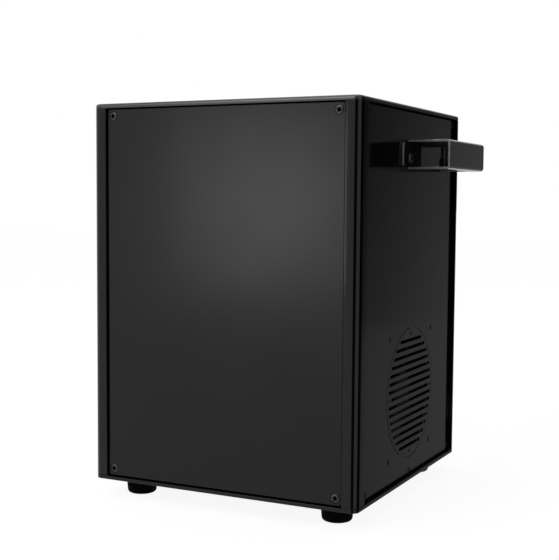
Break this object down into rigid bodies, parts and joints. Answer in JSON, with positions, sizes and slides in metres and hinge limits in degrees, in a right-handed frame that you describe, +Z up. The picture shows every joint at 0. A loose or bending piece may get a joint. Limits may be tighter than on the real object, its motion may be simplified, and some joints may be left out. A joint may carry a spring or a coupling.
{
  "type": "cold spark machine",
  "caption": "Tall floor-standing stage effect in a black box casing, with side carrying handles, a slotted fan grille, a top outlet, a granule feeder and a rear control panel.",
  "frame": {"origin": "on the floor under the middle of the casing", "axes": "+Z up out of the outlet, -Y the plain front face, +X the side with the cooling fan"},
  "size_m": [0.319, 0.252, 0.3503],
  "materials": {
    "paint": "satin black powder coat",
    "rubber": "matt",
    "black_plastic": "fine grain",
    "white_plastic": "plain",
    "steel": "turned and brushed",
    "zinc": "zinc plated sheet",
    "ceramic": "dry ceramic fibre",
    "copper": "drawn copper tube",
    "aluminium": "machined",
    "brass": "cut",
    "circuit": "solder mask",
    "pane": "smoked window"
  },
  "bodies": {
    "casing": {"base_plate": "paint", "top_cover": "paint", "post_front_left": "paint", "post_front_right": "paint", "post_rear_left": "paint", "post_rear_right": "paint", "front_panel": "paint", "rear_panel": "paint", "left_panel": "paint", "right_panel": "paint", "grille_left": "paint", "grille_right": "paint", "handle_left": "paint", "handle_right": "paint", "lid_hinge_bracket": "paint", "foot_front_left": "rubber", "foot_front_right": "rubber", "foot_rear_left": "rubber", "foot_rear_right": "rubber", "fan_frame": "black_plastic", "blower_housing": "black_plastic", "signal_in": "black_plastic", "signal_out": "black_plastic", "power_inlet": "black_plastic", "switch_bezel": "black_plastic", "outlet_ring": "steel", "nozzle_tube": "steel", "lid_hinge_pin": "steel", "feed_motor": "steel", "grille_ring_left": "zinc", "grille_ring_right": "zinc", "shelf": "zinc", "shelf_pillar_front_left": "zinc", "shelf_pillar_front_right": "zinc", "shelf_pillar_rear_left": "zinc", "shelf_pillar_rear_right": "zinc", "hopper": "zinc", "feeder_bracket": "zinc", "insulation_sleeve": "ceramic", "induction_coil": "copper", "feeder_housing": "aluminium", "heat_sink": "aluminium", "power_supply": "aluminium", "driver_board": "circuit", "control_board": "circuit", "display_pane": "pane"},
    "fan": {"fan_rotor": "black_plastic"},
    "impeller": {"blower_impeller": "white_plastic"},
    "auger": {"feed_auger": "steel", "auger_gear": "brass"},
    "pinion": {"motor_pinion": "brass"},
    "lid": {"filler_lid": "paint"},
    "rocker": {"power_rocker": "black_plastic"},
    "latch": {"socket_latch": "zinc"},
    "drawer": {"fuse_drawer": "black_plastic"},
    "key_1": {"button_1": "black_plastic"},
    "key_2": {"button_2": "black_plastic"},
    "key_3": {"button_3": "black_plastic"},
    "key_4": {"button_4": "black_plastic"}
  },
  "joints": [
    {"name": "fan_turn", "type": "hinge", "parent": "casing", "child": "fan", "pos_m": [0.1, 0.0055, 0.093], "axis": [1, 0, 0], "continuous": true},
    {"name": "blower_turn", "type": "hinge", "parent": "casing", "child": "impeller", "pos_m": [-0.0275, 0, 0.1], "axis": [0, 1, 0], "continuous": true},
    {"name": "auger_turn", "type": "hinge", "parent": "casing", "child": "auger", "pos_m": [-0.06, 0, 0.17396], "axis": [1, 0, 0], "continuous": true},
    {"name": "pinion_turn", "type": "hinge", "parent": "casing", "child": "pinion", "pos_m": [-0.1, -0.0288, 0.17396], "axis": [1, 0, 0], "continuous": true},
    {"name": "lid_swing", "type": "hinge", "parent": "casing", "child": "lid", "pos_m": [-0.075, 0.029, 0.3478], "axis": [-1, 0, 0], "range_deg": [0, 100]},
    {"name": "rocker_tilt", "type": "hinge", "parent": "casing", "child": "rocker", "pos_m": [-0.026, 0.1199, 0.078], "axis": [1, 0, 0], "range_deg": [0, 18]},
    {"name": "latch_press", "type": "slide", "parent": "casing", "child": "latch", "axis": [0, -1, 0], "range_m": [0, 0.0015], "stiffness_N_per_m": 400},
    {"name": "drawer_slide", "type": "slide", "parent": "casing", "child": "drawer", "axis": [0, 1, 0], "range_m": [0, 0.016]},
    {"name": "key_1_press", "type": "slide", "parent": "casing", "child": "key_1", "axis": [0, -1, 0], "range_m": [0, 0.001], "stiffness_N_per_m": 500},
    {"name": "key_2_press", "type": "slide", "parent": "casing", "child": "key_2", "axis": [0, -1, 0], "range_m": [0, 0.001], "stiffness_N_per_m": 500},
    {"name": "key_3_press", "type": "slide", "parent": "casing", "child": "key_3", "axis": [0, -1, 0], "range_m": [0, 0.001], "stiffness_N_per_m": 500},
    {"name": "key_4_press", "type": "slide", "parent": "casing", "child": "key_4", "axis": [0, -1, 0], "range_m": [0, 0.001], "stiffness_N_per_m": 500}
  ],
  "couplings": [
    {"joint": "pinion_turn", "follows": "auger_turn", "ratio": -2}
  ]
}
